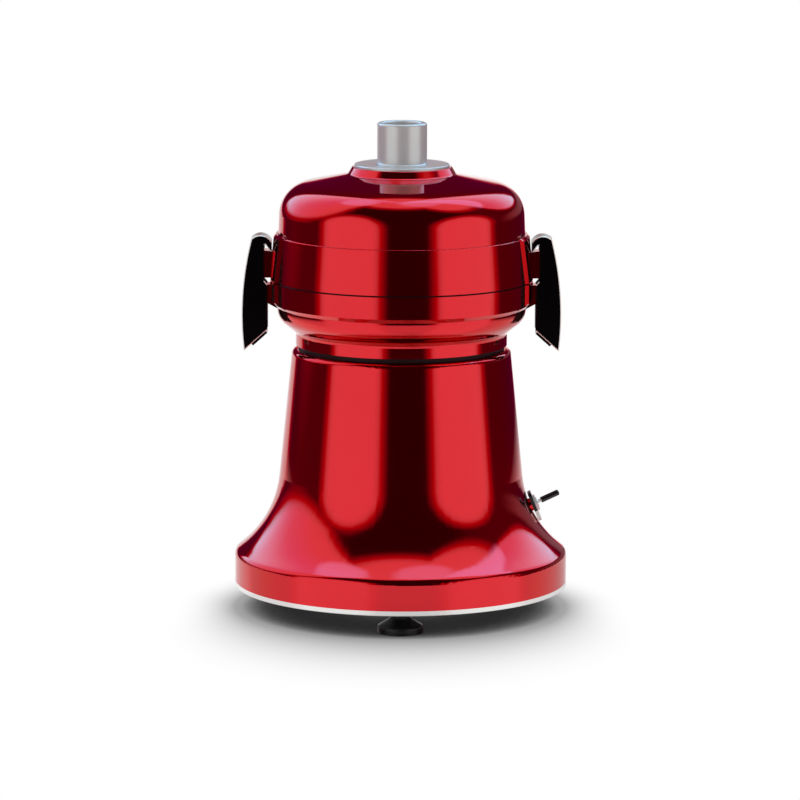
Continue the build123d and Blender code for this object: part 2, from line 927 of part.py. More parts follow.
def lid_gasket():
    outer = band_radius - lid_gasket_inset
    return ring(outer, outer - lid_gasket_width, bowl_rim, lid_bottom)


def lid():
    step = lid_bottom + spigot_height
    inner_top = boss_under
    outside = lathe(
        (0, lid_bottom - spigot_depth),
        (spigot_radius, lid_bottom - spigot_depth),
        (spigot_radius, lid_bottom),
        (band_radius, lid_bottom),
        (lid_band_top_radius, ledge_z, lid_ledge / 3),
        (lid_band_top_radius - lid_ledge, ledge_z),
        (dome_radius, dome_corner_z, dome_round),
        (lid_boss_radius + lid_boss_draft, crown_z, lid_boss_round),
        (lid_boss_radius, boss_top, lid_boss_edge),
        (0, boss_top),
    )
    flat = tube_nut_across / sqrt(3) + hole_gap
    inside = lathe(
        (0, lid_bottom - spigot_depth),
        (spigot_radius - spigot_wall, lid_bottom - spigot_depth),
        (spigot_radius - spigot_wall, step),
        (dome_radius - lid_wall, step + spigot_height),
        (dome_radius - lid_wall, dome_corner_z - lid_wall, dome_round - lid_wall),
        (flat, inner_top),
        (0, inner_top),
    )
    pad_top = ledge_z + pad_rise
    pad = latch_pad(lid_bottom, pad_top, band_radius, lid_band_top_radius, pad_edge, pad_proud)
    ear = across(
        outline(
            (dome_radius, ear_bottom),
            (ear_end, ear_bottom),
            (ear_end, ear_top),
            (dome_radius, ear_top - ear_slope),
        ),
        ear_width,
    )
    body = outside
    for angle in (0, 180):
        body += Rot(0, 0, angle) * pad
        body += Rot(0, 0, angle) * ear
    body -= inside
    return body - rod(tube_radius + hole_gap, lid_bottom, boss_top)


def feed_tube():
    seat = boss_top + tube_flange
    return lathe(
        (tube_bore, tube_end),
        (tube_radius, tube_end),
        (tube_radius, boss_top),
        (tube_flange_radius, boss_top),
        (tube_flange_radius, seat, tube_flange / 2),
        (tube_radius, seat, tube_foot_round),
        (tube_radius, tube_top, tube_lip),
        (tube_bore, tube_top, tube_lip),
    )


def feed_tube_washer():
    return ring(tube_nut_across / 2, tube_radius + hole_gap, boss_under - tube_washer, boss_under)


def feed_tube_nut():
    flats = RegularPolygon(tube_nut_across / 2, 6, major_radius=False)
    body = extrude(flats - Circle(tube_radius + press_gap), tube_nut_height)
    return Pos(0, 0, boss_under - tube_washer - tube_nut_height) * body


def latch_lever():
    """Lever of the right latch: a channel open towards the bowl, with its hook over the lid's ear."""
    blend = (ear_top - lid_bottom) / lid_band_height
    nose = band_radius - blend * lid_band_taper + pad_proud + running_gap
    heel = nose + hook_land
    hook_z = ear_top - ear_slope * (ear_end - heel) / (ear_end - dome_radius) + running_gap
    inner = pivot_x - lever_inner_in
    window = heel + hook_run + hook_flat
    waist = pivot_z + lever_waist_rise
    foot = (inner, pivot_z - lever_foot_drop)
    tip = (pivot_x + lever_tip_out, pivot_z - lever_tip_drop)
    bulge = (pivot_x + lever_bulge_out, pivot_z + lever_bulge_rise)
    shoulder = (pivot_x + lever_top_out, hook_z + lever_shoulder_rise)
    crown = ((shoulder[0] + nose) / 2, hook_z + lever_crown_rise)
    brow = (nose, hook_z + hook_height)
    arch = (window, hook_z + hook_rise)
    points = [
        brow,
        (nose, hook_z),
        (heel, hook_z),
        (heel + hook_run, hook_z + hook_rise),
        arch,
        (window, waist + lever_step),
        (inner, waist),
        foot,
        tip,
    ]
    side = make_face(
        [
            ThreePointArc(tip, bulge, shoulder),
            ThreePointArc(shoulder, crown, brow),
            Polyline(*points),
        ]
    )
    body = across(side, 2 * lever_half)
    rims = body.faces().filter_by(Axis.Y).edges()
    body = chamfer(rims, lever_edge)
    # Channel between the cheeks, behind the web and below the hook
    far = inner - pad_half_width
    web_tip = (tip[0] - lever_web, tip[1])
    web_top = (shoulder[0] - lever_web, shoulder[1])
    channel = make_face(
        [
            ThreePointArc(web_tip, (bulge[0] - lever_web, bulge[1]), web_top),
            Polyline(
                web_top,
                arch,
                (window, hook_z - running_gap),
                (far, hook_z - running_gap),
                (far, tip[1] - lever_web),
                (web_tip[0], tip[1] - lever_web),
                web_tip,
            ),
        ]
    )
    body -= across(channel, ear_width + 2 * running_gap)
    # Lip that closes the channel's lower end and stands proud of the cheeks' slanted edge
    slant = Line(foot, tip)
    middle = slant @ ((lever_lip_start + lever_lip_end) / 2)
    angle = degrees(atan2(tip[1] - foot[1], tip[0] - foot[0]))
    length = slant.length * (lever_lip_end - lever_lip_start)
    lip = Pos(middle) * Rot(0, 0, angle) * Rectangle(length, 2 * lever_lip_proud)
    body += across(lip, 2 * lever_half - lever_cheek)
    hole = Pos(pivot_x, 0, pivot_z) * Rot(90, 0, 0)
    return body - hole * Cylinder(pin_radius + pin_gap, 4 * lever_half)


def latch_pin():
    length = 2 * (lever_half - lever_edge)
    return Pos(pivot_x, 0, pivot_z) * Rot(90, 0, 0) * Cylinder(pin_radius, length)


def least_gap(wire, thickness, apart):
    """Least free gap of a round wire to itself, between points that lie further apart along it."""
    samples = 240
    points = [wire @ (i / samples) for i in range(samples + 1)]
    skip = int(samples * apart / wire.length)
    pairs = ((a, b) for i, a in enumerate(points) for b in points[i + skip :])
    return min((a - b).length for a, b in pairs) - thickness


def latch_spring():
    """Torsion spring round the pin: one leg presses on the lever's web, the other on the lug."""
    radius = pin_radius + spring_wire_radius + running_gap
    first, last = radians(spring_start), radians(spring_end + 360 * spring_turns)
    steps = 4 * spring_turns + 2

    def point(step):
        angle = first + (last - first) * step / steps
        height = spring_pitch * (angle - (first + last) / 2) / radians(360)
        return (radius * cos(angle), height, radius * sin(angle))

    coil = [
        ThreePointArc(point(step), point(step + 1), point(step + 2)) for step in range(0, steps, 2)
    ]
    inner, outer = point(steps), point(0)
    web_leg = (lever_bulge_out - lever_web - 2 * spring_wire_radius - outer[0]) / sin(first)
    lug_leg = lug_round - running_gap
    wire = Wire(
        [
            Line((outer[0] + web_leg * sin(first), outer[1], outer[2] - web_leg * cos(first)), outer),
            *coil,
            Line(inner, (inner[0] - lug_leg, inner[1], inner[2])),
        ]
    )
    gap = least_gap(wire, 2 * spring_wire_radius, radius * radians(180))
    print(f"latch spring: least gap to itself {gap:.2f} mm")
    section = Plane(origin=wire @ 0, z_dir=wire % 0) * Circle(spring_wire_radius)
    return Pos(pivot_x, 0, pivot_z) * sweep(section, wire)


def motor_shaft():
    low = fan_bottom - shaft_nut_height - press_gap
    top = grater_top + basket_nut_height
    return lathe(
        (0, low),
        (shaft_thread_radius, low),
        (shaft_thread_radius, fan_bottom),
        (shaft_radius, fan_bottom),
        (shaft_radius, lower_bearing + bearing_width),
        (shaft_core_radius, lower_bearing + bearing_width),
        (shaft_core_radius, upper_bearing),
        (shaft_radius, upper_bearing),
        (shaft_radius, hub_bottom),
        (shaft_thread_radius, hub_bottom),
        (shaft_thread_radius, top),
        (0, top),
    )


def rotor_core():
    return ring(rotor_radius, shaft_core_radius + press_gap, stator_bottom, stator_top)


def rotor_end_rings():
    outer, inner = rotor_radius - running_gap, (rotor_radius + shaft_core_radius) / 2
    return [
        ring(outer, inner, stator_top, stator_top + end_ring_height),
        ring(outer, inner, stator_bottom - end_ring_height, stator_bottom),
    ]


def cooling_fan():
    body = ring(fan_radius, fan_hub_radius, fan_top - fan_disc, fan_top)
    bore = shaft_radius + press_gap
    body += ring(fan_hub_radius, bore, fan_bottom, fan_top)
    length = fan_radius - fan_hub_radius
    blade = Box(length + fan_blade_thickness, fan_blade_thickness, fan_height, align=LOW)
    middle = Pos(0, 0, fan_bottom) * blade
    body += around(middle, fan_blades, fan_hub_radius + length / 2)
    body &= rod(fan_radius, fan_bottom, fan_top)
    return body + ring(shaft_radius + bearing_ring, bore, fan_top, lower_bearing)


def fan_nut():
    piece = nut(shaft_thread_radius, shaft_nut_height)
    return Pos(0, 0, fan_bottom - shaft_nut_height) * piece


def water_slinger():
    low = housing_top + slinger_lift
    bore = shaft_radius + press_gap
    return lathe(
        (bore, low),
        (slinger_radius, low),
        (slinger_radius, low + slinger_height / 2),
        (bore, low + slinger_height),
    )


def basket_hub():
    flange = hub_top - hub_flange
    return lathe(
        (shaft_thread_radius + press_gap, hub_bottom),
        (hub_radius, hub_bottom),
        (hub_radius, flange),
        (hub_skirt, flange),
        (hub_skirt, hub_bottom - hub_skirt_depth),
        (hub_skirt + hub_skirt_wall, hub_bottom - hub_skirt_depth),
        (hub_skirt + hub_skirt_wall, flange),
        (hub_flange_radius, flange),
        (hub_flange_radius, hub_top),
        (shaft_thread_radius + press_gap, hub_top),
    )


def strainer_basket():
    top = hub_top + basket_height
    bore = shaft_thread_radius + press_gap
    body = lathe(
        (bore, hub_top),
        (basket_bottom_radius, hub_top),
        (basket_top_radius, top),
        (basket_top_radius + basket_rim, top),
        (basket_top_radius + basket_rim, top + basket_rim, basket_rim / 3),
        (basket_top_radius - basket_sheet, top + basket_rim, basket_rim / 3),
        (basket_top_radius - basket_sheet, top),
        (basket_bottom_radius - basket_sheet, hub_top + basket_sheet),
        (bore, hub_top + basket_sheet),
    )
    pitch = strainer_slot_height + strainer_bridge
    first = (top + grater_top - pitch * strainer_rows) / 2 + pitch / 2
    slot = Box(4 * basket_rim, strainer_slot_width, strainer_slot_height)
    for row in range(strainer_rows):
        middle = Pos(0, 0, first + pitch * row) * slot
        radius = (basket_bottom_radius + basket_top_radius) / 2
        body -= around(middle, strainer_columns, radius, row * 180 / strainer_columns)
    return body


def grater_disc():
    body = ring(grater_radius, shaft_thread_radius + press_gap, grater_bottom, grater_top)
    draft = degrees(atan2(tooth_size, 2 * tooth_height))
    tooth = extrude(RegularPolygon(tooth_size, 4), tooth_height, taper=draft)
    first = hub_radius + tooth_first_gap
    step = (grater_radius - tooth_edge - first) / (teeth_per_row - 1)
    for row in range(teeth_per_row):
        radius = first + step * row
        body += around(Pos(0, 0, grater_top) * tooth, tooth_rows, radius, tooth_sweep * row)
    return body


def basket_nut():
    return Pos(0, 0, grater_top) * nut(shaft_thread_radius, basket_nut_height)


nodes = {
    "base_housing": base_housing(),
    "base_plate": base_plate(),
    "base_plate_screws": base_plate_screws(),
    "foot_screws": foot_screws(),
    "foot_nuts": foot_nuts(),
    "cord_grommet": cord_grommet(),
    "stator_core": stator_core(),
    "stator_winding": stator_winding(),
    "motor_bell": motor_bell(),
    "motor_lower_shield": motor_lower_shield(),
    "motor_bolts": motor_bolts(),
    "upper_bearing_outer": bearing_outer(upper_bearing),
    "upper_bearing_inner": bearing_inner(upper_bearing),
    "upper_bearing_balls": bearing_balls(upper_bearing),
    "lower_bearing_outer": bearing_outer(lower_bearing),
    "lower_bearing_inner": bearing_inner(lower_bearing),
    "lower_bearing_balls": bearing_balls(lower_bearing),
    "shaft_seal": shaft_seal(),
    "capacitor": capacitor(),
    "capacitor_clip": capacitor_clip(),
    "switch_body": switch_body(),
    "switch_bush": switch_bush(),
    "switch_plate": switch_plate(),
    "switch_nut": switch_nut(),
    "toggle_lever": toggle_lever(),
    "toggle_cap": toggle_cap(),
    "bowl": bowl(),
    "bowl_gasket": bowl_gasket(),
    "bowl_screws": bowl_screws(),
    "juice_spout": juice_spout(),
    "lid": lid(),
    "lid_gasket": lid_gasket(),
    "feed_tube": feed_tube(),
    "feed_tube_washer": feed_tube_washer(),
    "feed_tube_nut": feed_tube_nut(),
    "motor_shaft": motor_shaft(),
    "rotor_core": rotor_core(),
    "rotor_end_rings": rotor_end_rings(),
    "cooling_fan": cooling_fan(),
    "fan_nut": fan_nut(),
    "water_slinger": water_slinger(),
    "basket_hub": basket_hub(),
    "strainer_basket": strainer_basket(),
    "grater_disc": grater_disc(),
    "basket_nut": basket_nut(),
}
latches = {"lever": latch_lever(), "pin": latch_pin(), "spring": latch_spring()}
for name, piece in latches.items():
    nodes[f"latch_{name}_right"] = piece
    nodes[f"latch_{name}_left"] = mirror(piece, about=Plane.YZ)
for side, angle in foot_angles.items():
    nodes[f"foot_{side}"] = Rot(0, 0, angle) * Pos(foot_circle_radius, 0, 0) * foot()

os.makedirs("parts", exist_ok=True)
for name, piece in nodes.items():
    solid = Compound(children=piece) if isinstance(piece, list) else piece
    export_step(solid, f"parts/{name}.step")
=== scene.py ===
import json
import math

import bmesh
import bpy
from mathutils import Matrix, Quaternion, Vector


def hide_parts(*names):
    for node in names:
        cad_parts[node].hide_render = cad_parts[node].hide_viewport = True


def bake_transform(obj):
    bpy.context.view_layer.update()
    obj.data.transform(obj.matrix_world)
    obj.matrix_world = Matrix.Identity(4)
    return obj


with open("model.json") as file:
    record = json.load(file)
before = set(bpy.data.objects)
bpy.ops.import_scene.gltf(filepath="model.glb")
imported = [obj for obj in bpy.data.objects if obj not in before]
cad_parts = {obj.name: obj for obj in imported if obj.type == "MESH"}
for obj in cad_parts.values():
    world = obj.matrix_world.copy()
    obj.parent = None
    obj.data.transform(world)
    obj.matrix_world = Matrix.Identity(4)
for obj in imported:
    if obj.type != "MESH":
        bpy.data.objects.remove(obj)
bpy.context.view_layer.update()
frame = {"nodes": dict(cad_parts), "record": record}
nodes = frame["nodes"]
scene = bpy.context.scene
MM = 0.001


# Materials

# Sockets of a Mix node that blends two colours
SHARE = 0
FIRST = 6
SECOND = 7
BLEND = 2
# A wave texture goes through this many radians in one unit of its scale
WAVE_RADIANS = 20


def paint(code):
    """Linear colour of an sRGB hex value."""
    parts = [int(code[i : i + 2], 16) / 255 for i in (1, 3, 5)]
    linear = [v / 12.92 if v <= 0.04045 else ((v + 0.055) / 1.055) ** 2.4 for v in parts]
    return (*linear, 1.0)


def add(tree, kind, inputs=(), out=0, **settings):
    """Adds a node with its settings, fills its inputs with values or links, and gives one output."""
    item = tree.nodes.new("ShaderNode" + kind)
    for name, value in settings.items():
        setattr(item, name, value)
    for socket, value in inputs.items() if isinstance(inputs, dict) else enumerate(inputs):
        if isinstance(value, bpy.types.NodeSocket):
            tree.links.new(value, item.inputs[socket])
        else:
            item.inputs[socket].default_value = value
    return item.outputs[out]


def finish(name, colour, metallic, roughness, **more):
    """A new surface finish: its material, node tree, shader inputs and object coordinates."""
    material = bpy.data.materials.new(name)
    material.use_nodes = True
    tree = material.node_tree
    shader = tree.nodes["Principled BSDF"].inputs
    shader["Base Color"].default_value = paint(colour)
    shader["Metallic"].default_value = metallic
    shader["Roughness"].default_value = roughness
    for socket, value in more.items():
        shader[socket.replace("_", " ")].default_value = value
    return material, tree, shader, add(tree, "TexCoord", out="Object")


def per_mm(size):
    """Texture scale at which one feature is this many millimetres."""
    return 1 / (size * MM)


def candy_enamel():
    # Candy-red enamel sprayed over cast metal: a bright metallic red ground under a thick clear gloss,
    # so lamps show as clear red panels with a faint white shine, and a slight orange peel
    tone_drift = 60
    orange_peel = 5
    material, tree, shader, place = finish(
        "candy_red_enamel",
        "#dc0a1c",
        metallic=1.0,
        roughness=0.1,
        Specular_Tint=paint("#d0081a"),
        Coat_Weight=1.0,
        Coat_Roughness=0.02,
        Coat_IOR=1.4,
    )
    drift = add(tree, "TexNoise", {"Vector": place, "Scale": per_mm(tone_drift), "Detail": 2.0})
    tones = {SHARE: drift, FIRST: paint("#d80c1d"), SECOND: paint("#e00e20")}
    tone = add(tree, "Mix", tones, BLEND, data_type="RGBA")
    tree.links.new(tone, shader["Base Color"])
    peel = add(tree, "TexNoise", {"Vector": place, "Scale": per_mm(orange_peel), "Detail": 1.0})
    bump = add(tree, "Bump", {"Height": peel, "Strength": 0.05, "Distance": 0.02 * MM})
    tree.links.new(bump, shader["Normal"])
    return material


def turned_metal(name, colour, metallic, roughness, line):
    # Metal turned on a lathe: shallow rings and smears that blur what it mirrors. Real tool marks are too
    # fine to show, so the rings are drawn coarser, about six of these lines apart
    smear_length = 8
    material, tree, shader, place = finish(name, colour, metallic, roughness)
    rings = add(
        tree,
        "TexWave",
        {"Vector": place, "Scale": per_mm(line) / WAVE_RADIANS, "Distortion": 0.4, "Detail": 2.0},
        "Fac",
        bands_direction="Z",
    )
    smear = add(tree, "TexNoise", {"Vector": place, "Scale": per_mm(smear_length), "Detail": 3.0})
    blurs = {"Value": smear, "To Min": roughness - 0.05, "To Max": roughness + 0.07}
    tree.links.new(add(tree, "MapRange", blurs), shader["Roughness"])
    bump = add(tree, "Bump", {"Height": rings, "Strength": 0.12, "Distance": 0.02 * MM})
    tree.links.new(bump, shader["Normal"])
    return material


def grainy(name, colour, second, metallic, roughness, grain, depth, **more):
    # A plain surface with a fine grain: moulded plastic, rubber, castings and plated steel. The grain is
    # drawn as coarse as it needs to show
    material, tree, shader, place = finish(name, colour, metallic, roughness, **more)
    grit = add(tree, "TexNoise", {"Vector": place, "Scale": per_mm(grain), "Detail": 4.0})
    tones = {SHARE: grit, FIRST: paint(colour), SECOND: paint(second)}
    tone = add(tree, "Mix", tones, BLEND, data_type="RGBA")
    tree.links.new(tone, shader["Base Color"])
    blurs = {"Value": grit, "To Min": roughness * 0.8, "To Max": roughness * 1.2}
    tree.links.new(add(tree, "MapRange", blurs), shader["Roughness"])
    bump = add(tree, "Bump", {"Height": grit, "Strength": depth, "Distance": 0.1 * MM})
    tree.links.new(bump, shader["Normal"])
    return material


def paint_reflected_white(tree, shader, place, black, where):
    """Paints a near-white, barely metallic patch on a black finish where a mask is one: a painted
    reflection of white light, with a fine grain.
    """
    reflected_white_grain_size = 1.5
    reflected_white_metallic = 0.25
    reflected_white_grain = add(tree, "TexNoise", {"Vector": place, "Scale": per_mm(reflected_white_grain_size), "Detail": 3.0})
    painted_white_tones = {SHARE: reflected_white_grain, FIRST: paint("#dcdad6"), SECOND: paint("#f2f0ec")}
    painted_white_tone = add(tree, "Mix", painted_white_tones, BLEND, data_type="RGBA")
    tones = {SHARE: where, FIRST: paint(black), SECOND: painted_white_tone}
    tone = add(tree, "Mix", tones, BLEND, data_type="RGBA")
    tree.links.new(tone, shader["Base Color"])
    metal = add(tree, "Math", [where, reflected_white_metallic], operation="MULTIPLY")
    tree.links.new(metal, shader["Metallic"])


def edged_enamel():
    # Gloss black enamel on a pressed latch, with painted highlights along the bevels of its back, its top
    # and its lower edge: the bevels that face outward or up are painted near-white for the light they
    # catch
    black = "#040405"
    bevel_lean = 0.65
    bevel_margin = 0.27
    least_lit_facing = 0.25
    material, tree, shader, place = finish(
        "stoved_black_enamel", black, metallic=0.0, roughness=0.12, Specular_IOR_Level=0.2
    )
    facing = add(tree, "SeparateXYZ", [add(tree, "TexCoord", out="Normal")]).node.outputs
    across = add(tree, "Math", [facing["Y"]], operation="ABSOLUTE")
    bevel = add(tree, "Math", [across, bevel_lean, bevel_margin], operation="COMPARE")
    side = add(tree, "Math", [add(tree, "SeparateXYZ", [place], "X")], operation="SIGN")
    outward = add(tree, "Math", [facing["X"], side], operation="MULTIPLY")
    upright = add(tree, "Math", [facing["Z"]], operation="ABSOLUTE")
    # Painted highlight: only bevels that face outward or up get the near-white patch
    lit_facing = add(tree, "Math", [outward, upright], operation="MAXIMUM")
    faces_the_light = add(tree, "Math", [lit_facing, least_lit_facing], operation="GREATER_THAN")
    painted_edge_highlight = add(tree, "Math", [bevel, faces_the_light], operation="MULTIPLY")
    paint_reflected_white(tree, shader, place, black, painted_edge_highlight)
    return material


def switch_plate_enamel():
    # Black enamel on the switch's plate, with a painted reflection: its lower end is painted near-white
    # for the white surroundings it would mirror
    black = "#060607"
    plate_down = (0.3928, 0, -0.9196)
    reflection_from = -29.5 * MM
    material, tree, shader, place = finish("enamelled_switch_plate", black, metallic=0.0, roughness=0.3)
    down = add(tree, "VectorMath", [place, plate_down], "Value", operation="DOT_PRODUCT")
    # Painted reflection on the lower end of the plate
    painted_reflection_end = add(tree, "Math", [down, reflection_from], operation="GREATER_THAN")
    paint_reflected_white(tree, shader, place, black, painted_reflection_end)
    return material


slots = {
    "red_paint": candy_enamel(),
    # Aluminium turned and left satin: pale grey, with lamps as soft upright streaks
    "satin_aluminium": turned_metal(
        "satin_turned_aluminium", "#c6c7c6", metallic=0.45, roughness=0.3, line=0.5
    ),
    # Aluminium cast in sand: dull grey with a rough skin
    "grey_casting": grainy(
        "sand_cast_aluminium", "#8f8f8f", "#a3a3a2", metallic=1.0, roughness=0.5, grain=0.8, depth=0.3
    ),
    # Aluminium drawn to a can: smooth, with a soft sheen
    "can_aluminium": turned_metal(
        "drawn_aluminium_can", "#c4c4c6", metallic=1.0, roughness=0.35, line=1.0
    ),
    # Moulded rubber: near black, with a low shine
    "black_rubber": grainy(
        "moulded_black_rubber",
        "#060607",
        "#0b0b0c",
        metallic=0.0,
        roughness=0.28,
        grain=0.6,
        depth=0.05,
        Specular_IOR_Level=0.4,
    ),
    "black_enamel": edged_enamel(),
    # Moulded plastic: black, with a soft shine
    "black_plastic": grainy(
        "moulded_black_plastic", "#050506", "#09090a", metallic=0.0, roughness=0.3, grain=0.5, depth=0.05
    ),
    # Moulded nylon: dark grey and nearly matt
    "dark_plastic": grainy(
        "dark_moulded_nylon", "#161617", "#202022", metallic=0.0, roughness=0.5, grain=0.5, depth=0.1
    ),
    # Nickel plate on turned metal, partly matt and nearly white: the whiteness is a painted reflection of
    # bright surroundings that a nickel mirror would show
    "nickel": turned_metal("nickel_with_painted_reflection", "#e2e4e4", metallic=0.4, roughness=0.2, line=0.4),
    # Steel plated with zinc: plain grey with a fine bright grain
    "steel": grainy(
        "zinc_plated_steel", "#a9a9a6", "#bcbcb8", metallic=1.0, roughness=0.34, grain=0.7, depth=0.05
    ),
    # Brushed stainless steel: bright, with fine lines that draw lamps out
    "stainless": turned_metal(
        "brushed_stainless_steel", "#c9c9c7", metallic=1.0, roughness=0.3, line=0.6
    ),
    # A stack of thin steel sheets: dark, with the lines of the sheets' edges
    "core_steel": turned_metal("steel_laminations", "#4a4a4c", metallic=1.0, roughness=0.5, line=1.0),
    # Enamelled copper wire, wound: warm brown with a ribbed shine
    "copper": grainy(
        "enamelled_copper_wire", "#8a3f1b", "#a4532a", metallic=1.0, roughness=0.35, grain=0.9, depth=0.4
    ),
}
for part in frame["record"]["subparts"]:
    shape = nodes[part["node"]]
    shape.data.materials.clear()
    shape.data.materials.append(slots[part["material_slot"]])

# Pieces whose finish differs from the rest of their slot. The base plate is machined bright, nearly white
nodes["base_plate"].data.materials[0] = turned_metal(
    "bright_machined_plate", "#f0f0ee", metallic=0.85, roughness=0.25, line=0.5
)
nodes["switch_plate"].data.materials[0] = switch_plate_enamel()
# Moulded rubber in the joints of the castings, coloured the dark red of the shaded seam between them,
# which is painted shade; it has hardly a shine
gasket_rubber = grainy(
    "seam_shade_rubber",
    "#1c0205",
    "#260307",
    metallic=0.0,
    roughness=0.5,
    grain=0.6,
    depth=0.1,
    Specular_IOR_Level=0.15,
)
for gasket in ("bowl_gasket", "lid_gasket"):
    nodes[gasket].data.materials[0] = gasket_rubber


# Latch springs

MERGE_GAP = 0.001 * MM


def wound_spring(side):
    """The torsion spring on a latch's pin, one leg on the lug and one on the lever: a copy of the drawn
    part with doubled points merged, the part itself hidden.
    """
    drawn = nodes["latch_spring_" + side]
    spring = bpy.data.objects.new("wound_spring_" + side, drawn.data.copy())
    scene.collection.objects.link(spring)
    wire = bmesh.new()
    wire.from_mesh(spring.data)
    bmesh.ops.remove_doubles(wire, verts=wire.verts, dist=MERGE_GAP)
    wire.to_mesh(spring.data)
    wire.free()
    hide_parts(drawn.name)
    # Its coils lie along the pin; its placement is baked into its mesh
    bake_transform(spring)


wound_spring("left")
wound_spring("right")


# Floor, light and camera

BASE_RADIUS = 129 * MM
FLOOR_SIDE = 14
DOME_RADIUS = 12


def stage_material(name):
    """A new material for the set, its node tree and the socket that its shader goes into."""
    material = bpy.data.materials.new(name)
    material.use_nodes = True
    tree = material.node_tree
    return material, tree, tree.nodes["Material Output"].inputs["Surface"]


def stage_piece(name, form, material):
    """Makes a bmesh into a piece of the set."""
    mesh = bpy.data.meshes.new(name)
    form.to_mesh(mesh)
    form.free()
    mesh.materials.append(material)
    piece = bpy.data.objects.new(name, mesh)
    scene.collection.objects.link(piece)
    return piece


def white_paper():
    """Plain white paper with a painted shadow of the object. Gloss mirrors only its near part."""
    gap_under_base = 60 * MM
    shadow_width = 50 * MM
    shadow_stretch = 3.0
    shadow_falloff = 2.5
    shadow_depth = 0.62
    material, tree, surface = stage_material("white_paper_floor")
    # Painted shade under the base, as dark as ambient occlusion finds it
    near = add(tree, "AmbientOcclusion", {"Distance": gap_under_base}, "AO", samples=16)
    under = {"Value": near, "From Min": 0.12, "From Max": 0.52, "To Min": 0.06}
    under = add(tree, "MapRange", under, interpolation_type="SMOOTHSTEP")
    # A painted soft shadow round the base, stretched forward as if lamps behind threw it
    place = add(tree, "TexCoord", out="Object")
    away = add(tree, "VectorMath", [place], "Value", operation="LENGTH")
    ahead = add(tree, "Math", [add(tree, "SeparateXYZ", [place], "Y"), away], operation="DIVIDE")
    ahead = add(tree, "Math", [ahead, 0.0], operation="MINIMUM")
    spread = add(tree, "Math", [ahead, ahead], operation="MULTIPLY")
    spread = add(tree, "Math", [spread, shadow_stretch, 1.0], operation="MULTIPLY_ADD")
    beyond = add(tree, "Math", [away, BASE_RADIUS], operation="SUBTRACT")
    beyond = add(tree, "Math", [beyond, spread], operation="DIVIDE")
    fade = {"Value": beyond, "From Max": shadow_width, "To Min": 1.0, "To Max": 0.0}
    fade = add(tree, "Math", [add(tree, "MapRange", fade), shadow_falloff], operation="POWER")
    soft = add(tree, "Math", [fade, -shadow_depth, 1.0], operation="MULTIPLY_ADD")
    shade = add(tree, "Math", [under, soft], operation="MULTIPLY")
    # Painted shadow: the paper glows white to camera, gloss and transmission rays, dimmed by the painted
    # shade
    white = add(tree, "Emission", {"Strength": shade})
    matt = add(tree, "BsdfDiffuse", {"Color": paint("#f2f2f2")})
    rays = add(tree, "LightPath").node.outputs
    seen = add(tree, "Math", [rays["Is Camera Ray"], rays["Is Glossy Ray"]], operation="MAXIMUM")
    seen = add(tree, "Math", [seen, rays["Is Transmission Ray"]], operation="MAXIMUM")
    paper = add(tree, "MixShader", [seen, matt, white])
    # Gloss mirrors most of the paper near by and none far away, where the studio shows instead
    far = add(tree, "MapRange", {"Value": away, "From Min": 0.8, "From Max": 1.25, "To Min": 0.22})
    hidden = add(tree, "Math", [far, rays["Is Glossy Ray"]], operation="MULTIPLY")
    tree.links.new(add(tree, "MixShader", [hidden, paper, add(tree, "BsdfTransparent")]), surface)
    return material


